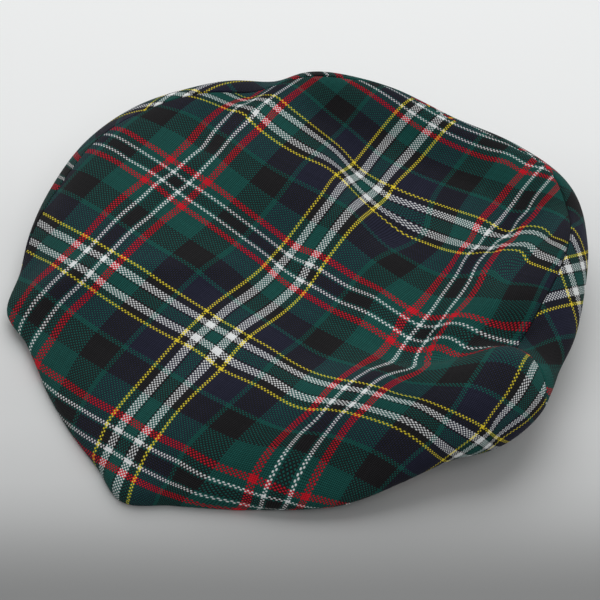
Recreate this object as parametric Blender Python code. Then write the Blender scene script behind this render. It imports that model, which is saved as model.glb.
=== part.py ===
"""A soft flat cap, lying empty on its hem and its peak.

The cloth is one continuous skin, measured round the cap by an angle (0 is the wearer's side on +X,
90 the centre back) and, along each section, by a station from the middle of the crown to the hem:
0 middle, 1 inner ring, 2 outer ring, 3 rim, 4 widest line, 5 turn under, 6 top of the hem, 7 hem.
The top panel is the skin as far as its seam, and the side panels are the skin from there to the hem.
The front of the cap is -Y, +Z is up and all lengths are in metres.
"""
import math

import bmesh
import bpy
import numpy as np
from mathutils import Matrix

# Sizes of the cap
HALF_WIDTH = 0.140
HALF_LENGTH = 0.133
CROWN_HEIGHT = 0.060
HEAD_HALF_WIDTH = 0.090
HEAD_HALF_LENGTH = 0.094
HEAD_CENTRE_Y = 0.004
HEM_HEIGHT = 0.005
CLOTH = 0.0016
PEAK_BOARD = 0.0030
PEAK_ARCH = 0.0050
PEAK_TUCK = 0.0010
CLEARANCE = 0.0003
SEAM_GAP = 0.0004

# Where the pieces meet, as angles round the cap
PEAK_LEFT = -136.0
PEAK_RIGHT = -38.0
CENTRE_BACK = 90.0
DENT_FROM = -2.0
DENT_TO = 30.0

# Stations along a section that a panel or a seam starts or ends at
AT_RIM = 3
AT_WIDEST = 4
AT_UNDER = 5
AT_HEM_TOP = 6
AT_HEM = 7

# How finely the cloth is divided, and how far apart two points lie that give a slope
FRONT_STEPS = 24
SIDE_STEPS = 9
DENT_STEPS = 20
BACK_STEPS = 15
LEFT_STEPS = 32
TOP_RINGS = 17
TURN_RINGS = 6
UNDER_RINGS = 4
HEM_RINGS = 2
PEAK_RINGS = 5
FOLD_SAMPLES = 14
STATION_STEP_SHARE = 0.02
ANGLE_STEP = 0.5
SHARP_ANGLE = 50.0

# Rings of the crown, as shares of the rim's radius
INNER_RING_SHARE = 0.45
OUTER_RING_SHARE = 0.78

# The turn under the widest line, as shares: how far in, how far down to the hem, and the height
# of the widest line from which it is a full turn. On the peak's edge the cloth ends upright.
TURN_IN_SHARE = 0.050
TURN_DOWN_SHARE = 0.60
FULL_TURN_SHARE = 0.12

MIDDLE_HEIGHT_SHARE = 0.46

# A row for each section round the cap. Radii are shares of the half width and half length,
# heights are shares of the crown's height, and seam is the station where the top panel ends.
SECTION_COLUMNS = ("angle", "inner_z", "outer_z", "rim", "rim_z", "wide", "wide_z", "seam")
SECTIONS = (
    (-136, 0.58, 0.54, 0.920, 0.22, 0.985, 0.05, 4.00),
    (-128, 0.53, 0.48, 0.860, 0.21, 0.930, 0.02, 4.00),
    (-116, 0.49, 0.42, 0.840, 0.21, 0.915, 0.00, 4.00),
    (-104, 0.48, 0.38, 0.845, 0.20, 0.925, 0.00, 4.00),
    (-92, 0.48, 0.36, 0.870, 0.19, 0.955, 0.00, 4.00),
    (-83, 0.49, 0.38, 0.915, 0.17, 1.010, 0.00, 4.00),
    (-75, 0.49, 0.43, 0.865, 0.20, 0.945, 0.00, 4.00),
    (-62, 0.49, 0.47, 0.820, 0.24, 0.890, 0.00, 4.00),
    (-49, 0.46, 0.51, 0.810, 0.28, 0.880, 0.02, 4.00),
    (-38, 0.43, 0.55, 0.805, 0.34, 0.880, 0.06, 4.00),
    (-27, 0.41, 0.57, 0.795, 0.46, 0.875, 0.15, 4.30),
    (-16, 0.38, 0.57, 0.820, 0.52, 0.900, 0.28, 4.50),
    (-7, 0.37, 0.55, 0.880, 0.57, 0.965, 0.37, 4.50),
    (3, 0.38, 0.53, 0.895, 0.58, 0.985, 0.41, 4.40),
    (10, 0.39, 0.53, 0.870, 0.56, 0.980, 0.39, 3.75),
    (17, 0.41, 0.54, 0.825, 0.48, 0.975, 0.33, 3.00),
    (26, 0.44, 0.56, 0.840, 0.53, 0.985, 0.31, 3.00),
    (38, 0.47, 0.58, 0.915, 0.62, 1.010, 0.33, 3.00),
    (50, 0.51, 0.57, 0.995, 0.68, 1.065, 0.38, 3.00),
    (62, 0.55, 0.57, 1.030, 0.74, 1.100, 0.44, 3.00),
    (74, 0.58, 0.59, 0.965, 0.79, 1.045, 0.47, 3.00),
    (88, 0.62, 0.62, 0.880, 0.84, 0.965, 0.48, 3.05),
    (104, 0.67, 0.74, 0.850, 0.95, 0.935, 0.48, 3.10),
    (120, 0.72, 0.82, 0.855, 0.97, 0.935, 0.48, 3.10),
    (134, 0.73, 0.86, 0.850, 0.91, 0.940, 0.46, 3.10),
    (148, 0.72, 0.85, 0.865, 0.85, 0.975, 0.43, 3.00),
    (162, 0.68, 0.79, 0.895, 0.74, 1.015, 0.37, 3.00),
    (176, 0.63, 0.71, 0.930, 0.60, 1.020, 0.31, 3.00),
    (190, 0.60, 0.64, 0.915, 0.46, 0.985, 0.23, 3.20),
    (204, 0.58, 0.57, 0.895, 0.34, 0.960, 0.15, 3.60),
    (214, 0.58, 0.54, 0.895, 0.26, 0.955, 0.09, 3.85),
)

# Folds of the top panel: each runs from a start through a bend to an end. Places are shares of the
# half width and half length, spread is a share of the half width and rise one of the crown's height.
FOLD_COLUMNS = ("start_x", "start_y", "bend_x", "bend_y", "end_x", "end_y", "spread", "rise")
FOLDS = {
    "dent at the side seam": (0.76, 0.20, 0.70, 0.07, 0.50, -0.10, 0.085, -0.14),
    "ridge before the dent": (0.84, 0.02, 0.72, -0.14, 0.50, -0.26, 0.110, 0.09),
    "long fold to the back": (0.54, 0.82, 0.42, 0.44, 0.56, 0.10, 0.100, -0.10),
    "fold across the back": (-0.30, 0.64, -0.16, 0.50, 0.16, 0.40, 0.100, -0.10),
    "fold at the far side": (-0.60, 0.66, -0.62, 0.46, -0.58, 0.24, 0.080, -0.09),
    "hollow of the middle": (0.06, -0.16, 0.24, -0.26, 0.44, -0.22, 0.110, -0.05),
}

TARTAN_GREEN = (0.012, 0.055, 0.047, 1.0)
TARTAN_SIDE = (0.014, 0.045, 0.042, 1.0)
TARTAN_NAVY = (0.015, 0.018, 0.030, 1.0)
WOOL_ROUGHNESS = 0.85


def clear_scene():
    """Takes every object out of the open file."""
    for item in list(bpy.data.objects):
        bpy.data.objects.remove(item, do_unlink=True)


def column(name):
    """The values of one column of the sections, in their order round the cap."""
    return np.array([row[SECTION_COLUMNS.index(name)] for row in SECTIONS], dtype=float)


def around(name, angle):
    """A section's value at any angle, on a smooth closed curve through the rows."""
    knots = column("angle")
    values = column(name)
    knots = np.concatenate((knots[-2:] - 360.0, knots, knots[:3] + 360.0))
    values = np.concatenate((values[-2:], values, values[:3]))
    turned = PEAK_LEFT + (angle - PEAK_LEFT) % 360.0
    index = int(np.searchsorted(knots, turned, side="right")) - 1
    span = knots[index + 1] - knots[index]
    share = (turned - knots[index]) / span
    before = (values[index + 1] - values[index - 1]) / (knots[index + 1] - knots[index - 1])
    after = (values[index + 2] - values[index]) / (knots[index + 2] - knots[index])
    return hermite(values[index], values[index + 1], before * span, after * span, share)


def hermite(first, last, first_slope, last_slope, share):
    """One stretch of a cubic through two values with their slopes."""
    square = share * share
    cube = square * share
    return ((2 * cube - 3 * square + 1) * first + (cube - 2 * square + share) * first_slope
            + (3 * square - 2 * cube) * last + (cube - square) * last_slope)


def height(share):
    """A height from its share: 0 is the top of the peak's board and 1 the top of the crown."""
    base = PEAK_BOARD + CLEARANCE
    return base + max(share, 0.0) * (CROWN_HEIGHT - base)


def on_plan(angle, share):
    """The place seen from above at a share of the cap's half width and half length."""
    turn = math.radians(angle)
    return share * HALF_WIDTH * math.cos(turn), share * HALF_LENGTH * math.sin(turn)


def on_hem(angle, inset=0.0):
    """A place on the oval of the hem, or inside it by inset."""
    turn = math.radians(angle)
    return ((HEAD_HALF_WIDTH - inset) * math.cos(turn),
            HEAD_CENTRE_Y + (HEAD_HALF_LENGTH - inset) * math.sin(turn))


def hem_top(wide_z):
    """The height of the upright hem, lower where the cloth comes down to the peak."""
    return HEM_HEIGHT * wide_z / (wide_z + HEM_HEIGHT)


def section(angle):
    """The eight stations of the section at an angle."""
    rim = around("rim", angle)
    wide = around("wide", angle)
    lift = max(around("wide_z", angle), 0.0)
    wide_z = height(lift)
    turn_in = TURN_IN_SHARE * min(lift / FULL_TURN_SHARE, 1.0)
    band_z = hem_top(wide_z)
    under_z = wide_z - TURN_DOWN_SHARE * (wide_z - band_z)
    hem = on_hem(angle)
    return np.array((
        (0.0, 0.0, height(MIDDLE_HEIGHT_SHARE)),
        (*on_plan(angle, INNER_RING_SHARE * rim), height(around("inner_z", angle))),
        (*on_plan(angle, OUTER_RING_SHARE * rim), height(around("outer_z", angle))),
        (*on_plan(angle, rim), height(around("rim_z", angle))),
        (*on_plan(angle, wide), wide_z),
        (*on_plan(angle, wide - turn_in), under_z),
        (*hem, band_z),
        (*hem, 0.0),
    ))


def along(stations, station):
    """A point of a section at any station, on a smooth curve through the stations."""
    last = len(stations) - 1
    index = min(int(station), last - 1)
    share = station - index
    spans = np.linalg.norm(np.diff(stations, axis=0), axis=1)

    def slope(at):
        if at == 0:
            return (stations[1] - stations[0]) * (1.0, 1.0, 0.0) / spans[0]
        if at == last:
            return (stations[last] - stations[last - 1]) / spans[last - 1]
        before = (stations[at] - stations[at - 1]) / spans[at - 1]
        after = (stations[at + 1] - stations[at]) / spans[at]
        bent = before * spans[at] + after * spans[at - 1]
        return bent / np.linalg.norm(bent)

    span = spans[index]
    return hermite(stations[index], stations[index + 1], slope(index) * span, slope(index + 1) * span, share)


def fold_lines():
    """Each fold as points along its line, with its spread and its rise."""
    lines = []
    shares = np.linspace(0.0, 1.0, FOLD_SAMPLES)[:, None]
    for row in FOLDS.values():
        fold = dict(zip(FOLD_COLUMNS, row))
        start = np.array((fold["start_x"] * HALF_WIDTH, fold["start_y"] * HALF_LENGTH))
        bend = np.array((fold["bend_x"] * HALF_WIDTH, fold["bend_y"] * HALF_LENGTH))
        end = np.array((fold["end_x"] * HALF_WIDTH, fold["end_y"] * HALF_LENGTH))
        line = (1 - shares) ** 2 * start + 2 * shares * (1 - shares) * bend + shares ** 2 * end
        lines.append((line, fold["spread"] * HALF_WIDTH, fold["rise"] * CROWN_HEIGHT))
    return lines


def fold_rise(lines, x, y):
    """How far the folds lift or sink the cloth at a place seen from above."""
    total = 0.0
    for line, spread, rise in lines:
        away = np.hypot(line[:, 0] - x, line[:, 1] - y).min()
        total += rise * math.exp(-(away / spread) ** 2)
    return total


def skin_point(lines, angle, station):
    """A point of the cloth's outer face."""
    point = along(section(angle), station)
    if station < AT_WIDEST:
        fade = 1.0 - max(station - AT_RIM, 0.0)
        point = point + np.array((0.0, 0.0, fade * fold_rise(lines, point[0], point[1])))
    return point


def skin_normal(lines, angle, station):
    """The direction out of the cloth, from the slopes round and along the skin."""
    if station < STATION_STEP_SHARE:
        return np.array((0.0, 0.0, 1.0))
    first = skin_point(lines, angle, station - STATION_STEP_SHARE)
    last = skin_point(lines, angle, min(station + STATION_STEP_SHARE, AT_HEM))
    left = skin_point(lines, angle - ANGLE_STEP, station)
    right = skin_point(lines, angle + ANGLE_STEP, station)
    normal = np.cross(last - first, right - left)
    return normal / np.linalg.norm(normal)


def inner_point(lines, angle, station):
    """The point of the cloth's inner face behind a point of its outer face."""
    if station == AT_HEM:
        return np.array((*on_hem(angle, CLOTH), 0.0))
    return skin_point(lines, angle, station) - CLOTH * skin_normal(lines, angle, station)


def above_peak(point, angle):
    """The same point, no lower than the edge that is sewn to the peak."""
    if PEAK_LEFT <= angle <= PEAK_RIGHT:
        return np.array((point[0], point[1], max(point[2], height(around("wide_z", angle)))))
    return point


def seam_station(angle):
    """The station of the seam between the top panel and what it is sewn to."""
    return around("seam", angle)


def past_seam(lines, angle):
    """The station across the seam's gap, which is measured square to the seam."""
    start = seam_station(angle)
    across = skin_point(lines, angle, start + STATION_STEP_SHARE) - skin_point(lines, angle, start)
    before = skin_point(lines, angle - ANGLE_STEP, seam_station(angle - ANGLE_STEP))
    after = skin_point(lines, angle + ANGLE_STEP, seam_station(angle + ANGLE_STEP))
    seam = (after - before) / np.linalg.norm(after - before)
    return start + STATION_STEP_SHARE * SEAM_GAP / np.linalg.norm(np.cross(across, seam))


def make_object(name, vertices, faces, colour):
    """A closed mesh with its own cloth."""
    mesh = bpy.data.meshes.new(name)
    mesh.from_pydata([tuple(map(float, point)) for point in vertices], [], faces)
    work = bmesh.new()
    work.from_mesh(mesh)
    bmesh.ops.recalc_face_normals(work, faces=work.faces)
    work.to_mesh(mesh)
    work.free()
    mesh.shade_smooth()
    mesh.set_sharp_from_angle(angle=math.radians(SHARP_ANGLE))
    item = bpy.data.objects.new(name, mesh)
    bpy.context.scene.collection.objects.link(item)
    mesh.materials.append(cloth_material(name + "_cloth", colour))
    return item


def cloth_material(name, colour):
    """A plain woven wool."""
    material = bpy.data.materials.new(name)
    material.use_nodes = True
    shader = material.node_tree.nodes["Principled BSDF"]
    shader.inputs["Base Color"].default_value = colour
    shader.inputs["Roughness"].default_value = WOOL_ROUGHNESS
    shader.inputs["Metallic"].default_value = 0.0
    return material


def grid_faces(rows, columns, start, closed):
    """Quads between neighbouring rows of points, closed into a ring where asked."""
    faces = []
    last = columns if closed else columns - 1
    for row in range(rows - 1):
        for col in range(last):
            after = (col + 1) % columns
            here = start + row * columns
            faces.append((here + col, here + after, here + columns + after, here + columns + col))
    return faces


def wall_from_grids(outer, inner):
    """Points and faces of a wall between two open grids of the same size."""
    rows = len(outer)
    columns = len(outer[0])
    points = [point for row in outer for point in row] + [point for row in inner for point in row]
    back = rows * columns
    faces = grid_faces(rows, columns, 0, False)
    faces += [tuple(reversed(face)) for face in grid_faces(rows, columns, back, False)]
    edge = [(0, col) for col in range(columns)]
    edge += [(row, columns - 1) for row in range(1, rows)]
    edge += [(rows - 1, col) for col in range(columns - 2, -1, -1)]
    edge += [(row, 0) for row in range(rows - 2, 0, -1)]
    for index, place in enumerate(edge):
        after = edge[(index + 1) % len(edge)]
        here = place[0] * columns + place[1]
        there = after[0] * columns + after[1]
        faces.append((there, here, back + here, back + there))
    return points, faces


def right_angles(last):
    """The angles of the right side, closer together across the dent at its seam."""
    return np.concatenate((np.linspace(PEAK_RIGHT, DENT_FROM, SIDE_STEPS + 1)[:-1],
                           np.linspace(DENT_FROM, DENT_TO, DENT_STEPS + 1)[:-1],
                           np.linspace(DENT_TO, last, BACK_STEPS + 1)))


def left_angles(last):
    """The angles of the left side, from the peak's end to the back."""
    return np.linspace(PEAK_LEFT + 360.0, last, LEFT_STEPS + 1)


def round_angles():
    """The angles of all the sections, closer where a seam or a corner needs them."""
    front = np.linspace(PEAK_LEFT, PEAK_RIGHT, FRONT_STEPS + 1)[:-1]
    right = right_angles(CENTRE_BACK)[:-1]
    left = left_angles(CENTRE_BACK)[:0:-1]
    return np.concatenate((front, right, left))


def make_crown_top(lines):
    """The top panel, with one point in its middle and rings out to its seam."""
    angles = round_angles()
    count = len(angles)
    shares = [ring / TOP_RINGS for ring in range(1, TOP_RINGS + 1)]
    outer = [skin_point(lines, 0.0, 0.0)]
    inner = [outer[0] - np.array((0.0, 0.0, CLOTH))]
    for share in shares:
        for angle in angles:
            station = share * seam_station(angle)
            outer.append(skin_point(lines, angle, station))
            inner.append(above_peak(inner_point(lines, angle, station), angle))
    back = len(outer)
    faces = [(0, 1 + col, 1 + (col + 1) % count) for col in range(count)]
    faces += grid_faces(TOP_RINGS, count, 1, True)
    faces += [tuple(back + corner for corner in reversed(face)) for face in list(faces)]
    rim = 1 + (TOP_RINGS - 1) * count
    for col in range(count):
        here = rim + col
        there = rim + (col + 1) % count
        faces.append((here, there, back + there, back + here))
    return make_object("crown_top", outer + inner, faces, TARTAN_GREEN)


def side_stations(start):
    """The stations of a side panel's rings, with one on the turn under and one on the hem's top."""
    return np.concatenate((np.linspace(start, AT_UNDER, TURN_RINGS + 1)[:-1],
                           np.linspace(AT_UNDER, AT_HEM_TOP, UNDER_RINGS + 1)[:-1],
                           np.linspace(AT_HEM_TOP, AT_HEM, HEM_RINGS + 1)))


def make_side_panel(lines, name, angles):
    """A side panel from its front end to the centre back, from the seam down to the hem."""
    outer = []
    inner = []
    stations = [side_stations(past_seam(lines, angle)) for angle in angles]
    for ring in range(len(stations[0])):
        outer_row = []
        inner_row = []
        for index, angle in enumerate(angles):
            station = stations[index][ring]
            point = skin_point(lines, angle, station)
            outer_row.append(point)
            if ring == 0:
                normal = skin_normal(lines, angle, seam_station(angle))
                inner_row.append(point - CLOTH * normal)
            else:
                inner_row.append(inner_point(lines, angle, station))
        outer.append(outer_row)
        inner.append(inner_row)
    points, faces = wall_from_grids(outer, inner)
    return make_object(name, points, faces, TARTAN_SIDE)


def make_peak():
    """The board of the peak, from the oval of the head to the outline of the front."""
    turn = math.degrees(CLEARANCE / HEAD_HALF_WIDTH)
    angles = np.linspace(PEAK_LEFT + turn, PEAK_RIGHT - turn, FRONT_STEPS + 1)
    middle = (PEAK_LEFT + PEAK_RIGHT) / 2
    half = (PEAK_RIGHT - PEAK_LEFT) / 2
    upper = []
    lower = []
    for ring in range(PEAK_RINGS + 1):
        share = ring / PEAK_RINGS
        upper_row = []
        lower_row = []
        for angle in angles:
            near = np.array(on_hem(angle))
            edge = np.array(on_plan(angle, around("wide", angle)))
            far = edge * (1.0 - PEAK_TUCK / np.linalg.norm(edge))
            place = near + share * (far - near)
            arch = PEAK_ARCH * (1.0 - share) * (1.0 - ((angle - middle) / half) ** 2)
            top = height(around("wide_z", angle)) - CLEARANCE + arch
            upper_row.append((place[0], place[1], top))
            lower_row.append((place[0], place[1], top - PEAK_BOARD))
        upper.append(upper_row)
        lower.append(lower_row)
    points, faces = wall_from_grids(upper, lower)
    return make_object("peak", points, faces, TARTAN_NAVY)


def stand_on_origin(items):
    """Moves the cloth in its meshes, so that the origin is under the middle of the cap."""
    corners = np.array([vertex.co for item in items for vertex in item.data.vertices])
    low = corners.min(axis=0)
    high = corners.max(axis=0)
    middle = (low + high) / 2
    shift = Matrix.Translation((-middle[0], -middle[1], -low[2]))
    for item in items:
        item.data.transform(shift)


def main():
    """Builds the cap."""
    clear_scene()
    lines = fold_lines()
    turn = math.degrees(CLEARANCE / HEAD_HALF_WIDTH / 2)
    items = [
        make_crown_top(lines),
        make_side_panel(lines, "side_panel_right", right_angles(CENTRE_BACK - turn)),
        make_side_panel(lines, "side_panel_left", left_angles(CENTRE_BACK + turn)),
        make_peak(),
    ]
    stand_on_origin(items)


main()
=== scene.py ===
import math

import bpy
import numpy as np
from mathutils import Matrix, Vector, noise
from mathutils.bvhtree import BVHTree


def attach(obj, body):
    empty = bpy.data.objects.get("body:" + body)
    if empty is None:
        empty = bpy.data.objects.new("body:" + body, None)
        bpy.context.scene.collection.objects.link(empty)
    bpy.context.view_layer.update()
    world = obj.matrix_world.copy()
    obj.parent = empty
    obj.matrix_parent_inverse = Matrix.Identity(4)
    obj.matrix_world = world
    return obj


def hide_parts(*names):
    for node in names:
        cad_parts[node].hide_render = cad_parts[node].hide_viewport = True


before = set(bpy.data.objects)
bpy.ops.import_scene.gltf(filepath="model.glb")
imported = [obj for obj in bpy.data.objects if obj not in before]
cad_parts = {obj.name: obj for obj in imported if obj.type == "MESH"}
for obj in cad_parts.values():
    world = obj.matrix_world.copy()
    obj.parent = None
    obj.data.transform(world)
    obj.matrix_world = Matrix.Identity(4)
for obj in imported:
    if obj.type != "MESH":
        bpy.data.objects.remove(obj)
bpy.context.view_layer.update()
bpy.ops.object.select_all(action="DESELECT")


# The cap's own sizes in metres, measured round it by an angle (0 is +X, 90 the centre back) and along
# each section by a station: 0 middle, 1 inner ring, 2 outer ring, 3 rim, 4 widest line, 5 turn,
# 6 hem top, 7 hem
capForm = {
    "halfWidth": 0.140,
    "halfLength": 0.133,
    "crownHeight": 0.060,
    "headHalfWidth": 0.090,
    "headHalfLength": 0.094,
    "headCentreY": 0.004,
    "hemHeight": 0.005,
    "board": 0.0030,
    "gap": 0.0003,
    "cloth": 0.0008,
    "innerRing": 0.45,
    "outerRing": 0.78,
    "turnIn": 0.050,
    "turnDown": 0.60,
    "fullTurn": 0.12,
    "middleZ": 0.46,
    "peakLeft": -136.0,
    "peakRight": -38.0,
    "centreBack": 90.0,
    "middle": (-0.00237, 0.00007, 0.0),
    "foldSteps": 24,
}
stationOf = {"widest": 4.0, "turn": 5.0, "hem": 7.0}
# how far to the sides the cloth's ways are sampled: stations, degrees, and stations round the seam
sampling = {"station": 0.02, "turn": 0.4, "seamReach": 0.2}

# Radii are shares of the half sizes, heights shares of the crown's height, and seam is a station
sectionColumns = ("angle", "innerZ", "outerZ", "rim", "rimZ", "wide", "wideZ", "seam")
sectionRows = (
    (-136, 0.58, 0.54, 0.920, 0.22, 0.985, 0.05, 4.00),
    (-128, 0.53, 0.48, 0.860, 0.21, 0.930, 0.02, 4.00),
    (-116, 0.49, 0.42, 0.840, 0.21, 0.915, 0.00, 4.00),
    (-104, 0.48, 0.38, 0.845, 0.20, 0.925, 0.00, 4.00),
    (-92, 0.48, 0.36, 0.870, 0.19, 0.955, 0.00, 4.00),
    (-83, 0.49, 0.38, 0.915, 0.17, 1.010, 0.00, 4.00),
    (-75, 0.49, 0.43, 0.865, 0.20, 0.945, 0.00, 4.00),
    (-62, 0.49, 0.47, 0.820, 0.24, 0.890, 0.00, 4.00),
    (-49, 0.46, 0.51, 0.810, 0.28, 0.880, 0.02, 4.00),
    (-38, 0.43, 0.55, 0.805, 0.34, 0.880, 0.06, 4.00),
    (-27, 0.41, 0.57, 0.795, 0.46, 0.875, 0.15, 4.30),
    (-16, 0.38, 0.57, 0.820, 0.52, 0.900, 0.28, 4.50),
    (-7, 0.37, 0.55, 0.880, 0.57, 0.965, 0.37, 4.50),
    (3, 0.38, 0.53, 0.895, 0.58, 0.985, 0.41, 4.32),
    (10, 0.39, 0.53, 0.865, 0.56, 0.972, 0.39, 3.52),
    (17, 0.41, 0.54, 0.820, 0.48, 0.961, 0.33, 2.95),
    (26, 0.44, 0.56, 0.840, 0.53, 0.979, 0.31, 3.00),
    (38, 0.47, 0.58, 0.915, 0.62, 1.010, 0.33, 3.00),
    (50, 0.51, 0.57, 0.995, 0.68, 1.065, 0.38, 3.00),
    (62, 0.55, 0.57, 1.030, 0.74, 1.110, 0.44, 3.00),
    (74, 0.58, 0.59, 0.965, 0.79, 1.065, 0.47, 3.00),
    (88, 0.62, 0.62, 0.880, 0.84, 0.985, 0.48, 3.05),
    (104, 0.67, 0.74, 0.850, 0.95, 0.950, 0.48, 3.10),
    (120, 0.72, 0.82, 0.855, 0.97, 0.935, 0.48, 2.90),
    (134, 0.73, 0.86, 0.850, 0.91, 0.940, 0.46, 2.75),
    (148, 0.72, 0.85, 0.865, 0.85, 0.985, 0.43, 2.75),
    (162, 0.68, 0.79, 0.900, 0.74, 1.038, 0.37, 2.90),
    (176, 0.63, 0.71, 0.935, 0.60, 1.034, 0.31, 3.00),
    (190, 0.60, 0.64, 0.920, 0.46, 1.000, 0.23, 3.20),
    (204, 0.58, 0.57, 0.900, 0.34, 0.972, 0.15, 3.60),
    (214, 0.58, 0.54, 0.895, 0.26, 0.959, 0.09, 3.85),
)

# Folds of the top panel: places and spread are shares of the half sizes, rise one of the crown's height
foldColumns = ("startX", "startY", "bendX", "bendY", "endX", "endY", "spread", "rise", "endShare")
foldRows = {
    "dent at the side seam": (0.73, 0.27, 0.66, 0.10, 0.46, -0.17, 0.080, -0.16, 0.10),
    "ridge before the dent": (0.81, 0.08, 0.70, -0.10, 0.50, -0.26, 0.110, 0.11, 0.35),
    "long fold to the back": (0.54, 0.82, 0.42, 0.44, 0.56, 0.10, 0.100, -0.10, 1.0),
    "fold across the back": (-0.30, 0.64, -0.16, 0.50, 0.16, 0.40, 0.100, -0.10, 1.0),
    "fold at the far side": (-0.60, 0.66, -0.62, 0.46, -0.58, 0.24, 0.080, -0.09, 1.0),
    "hollow of the middle": (0.06, -0.16, 0.24, -0.26, 0.44, -0.22, 0.110, -0.05, 1.0),
}

# The picture's own viewpoint, and the size in pixels of the frame that it was judged in
viewpoint = {
    "azimuth": 40.0,
    "elevation": 46.0,
    "distance": 0.79,
    "target": (0.0168, -0.0097, 0.0279),
    "lens": 102.0,
    "sensor": 36.0,
    "framePixels": 600,
    "clipStart": 0.01,
}


def hermite(first, last, firstSlope, lastSlope, share):
    square = share * share
    cube = square * share
    return ((2 * cube - 3 * square + 1) * first + (cube - 2 * square + share) * firstSlope
            + (3 * square - 2 * cube) * last + (cube - square) * lastSlope)


def smoothStep(low, high, value):
    share = np.clip((value - low) / (high - low), 0.0, 1.0)
    return share * share * (3 - 2 * share)


def unit(vectors):
    return vectors / np.maximum(np.linalg.norm(vectors, axis=-1, keepdims=True), 1e-12)


def roundValue(name, angles):  # a column of the sections, on a smooth closed curve
    knots = np.array([row[0] for row in sectionRows], float)
    values = np.array([row[sectionColumns.index(name)] for row in sectionRows], float)
    knots = np.concatenate((knots[-2:] - 360, knots, knots[:3] + 360))
    values = np.concatenate((values[-2:], values, values[:3]))
    left = capForm["peakLeft"]
    turned = left + (angles - left) % 360.0
    index = np.searchsorted(knots, turned, side="right") - 1
    span = knots[index + 1] - knots[index]
    share = (turned - knots[index]) / span
    before = (values[index + 1] - values[index - 1]) / (knots[index + 1] - knots[index - 1])
    after = (values[index + 2] - values[index]) / (knots[index + 2] - knots[index])
    return hermite(values[index], values[index + 1], before * span, after * span, share)


def heightAt(share):
    base = capForm["board"] + capForm["gap"]
    return base + np.maximum(share, 0.0) * (capForm["crownHeight"] - base)


def onPlan(angles, shares):
    turn = np.radians(angles)
    return shares * capForm["halfWidth"] * np.cos(turn), shares * capForm["halfLength"] * np.sin(turn)


def onHem(angles):
    turn = np.radians(angles)
    return (capForm["headHalfWidth"] * np.cos(turn),
            capForm["headCentreY"] + capForm["headHalfLength"] * np.sin(turn))


def sectionPoints(angles):  # the eight stations of each section
    rim = roundValue("rim", angles)
    wide = roundValue("wide", angles)
    lift = np.maximum(roundValue("wideZ", angles), 0.0)
    wideZ = heightAt(lift)
    turnIn = capForm["turnIn"] * np.minimum(lift / capForm["fullTurn"], 1.0)
    bandZ = capForm["hemHeight"] * wideZ / (wideZ + capForm["hemHeight"])
    none = np.zeros_like(angles)
    hem = onHem(angles)
    stations = (
        (none, none, heightAt(capForm["middleZ"]) + none),
        (*onPlan(angles, capForm["innerRing"] * rim), heightAt(roundValue("innerZ", angles))),
        (*onPlan(angles, capForm["outerRing"] * rim), heightAt(roundValue("outerZ", angles))),
        (*onPlan(angles, rim), heightAt(roundValue("rimZ", angles))),
        (*onPlan(angles, wide), wideZ),
        (*onPlan(angles, wide - turnIn), wideZ - capForm["turnDown"] * (wideZ - bandZ)),
        (*hem, bandZ),
        (*hem, none),
    )
    return np.stack([np.stack(station, -1) for station in stations], 1)


def alongSection(points, stations):  # a smooth curve through the stations
    steps = np.diff(points, axis=1)
    spans = np.linalg.norm(steps, axis=2, keepdims=True)
    ways = steps / spans
    slopes = np.empty_like(points)
    slopes[:, 0] = ways[:, 0] * (1.0, 1.0, 0.0)
    slopes[:, 1:-1] = unit(ways[:, :-1] * spans[:, 1:] + ways[:, 1:] * spans[:, :-1])
    slopes[:, -1] = ways[:, -1]
    index = np.clip(stations.astype(int), 0, points.shape[1] - 2)
    share = (stations - index)[:, None]
    pick = np.arange(len(stations))
    span = spans[pick, index]
    return hermite(points[pick, index], points[pick, index + 1],
                   slopes[pick, index] * span, slopes[pick, index + 1] * span, share)


def foldRise(x, y):  # how far the folds lift or sink the cloth
    total = np.zeros_like(x)
    shares = np.linspace(0.0, 1.0, capForm["foldSteps"])[:, None]
    half = np.array((capForm["halfWidth"], capForm["halfLength"]))
    for row in foldRows.values():
        fold = dict(zip(foldColumns, row))
        start = np.array((fold["startX"], fold["startY"])) * half
        bend = np.array((fold["bendX"], fold["bendY"])) * half
        end = np.array((fold["endX"], fold["endY"])) * half
        line = (1 - shares) ** 2 * start + 2 * shares * (1 - shares) * bend + shares ** 2 * end
        away = np.hypot(line[:, 0, None] - x, line[:, 1, None] - y)
        along = shares[away.argmin(axis=0), 0]
        strength = 1 - (1 - fold["endShare"]) * along
        spread = fold["spread"] * capForm["halfWidth"]
        rise = fold["rise"] * strength * capForm["crownHeight"]
        total += rise * np.exp(-(away.min(axis=0) / spread) ** 2)
    return total


def skin(angles, stations):
    angles = np.asarray(angles, float)
    stations = np.broadcast_to(np.asarray(stations, float), angles.shape)
    points = alongSection(sectionPoints(angles), stations)
    fade = np.clip(stationOf["widest"] - stations, 0.0, 1.0)
    points[:, 2] += fade * foldRise(points[:, 0], points[:, 1])
    return points - np.array(capForm["middle"])


def skinFrame(angles, stations):  # point, way out of the cloth, way round it, way down the section
    step, turn = sampling["station"], sampling["turn"]
    angles = np.asarray(angles, float)
    stations = np.broadcast_to(np.asarray(stations, float), angles.shape)
    point = skin(angles, stations)
    down = skin(angles, np.minimum(stations + step, stationOf["hem"])) - skin(angles, stations - step)
    slant = (roundValue("seam", angles + turn) - roundValue("seam", angles - turn)) / 2
    nearSeam = np.abs(stations - roundValue("seam", angles)) < sampling["seamReach"]
    slant = np.where(nearSeam, slant, 0.0)
    about = skin(angles + turn, stations + slant) - skin(angles - turn, stations - slant)
    out = unit(np.cross(down, about))
    about = unit(about)
    return point, out, about, unit(np.cross(about, out))


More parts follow.
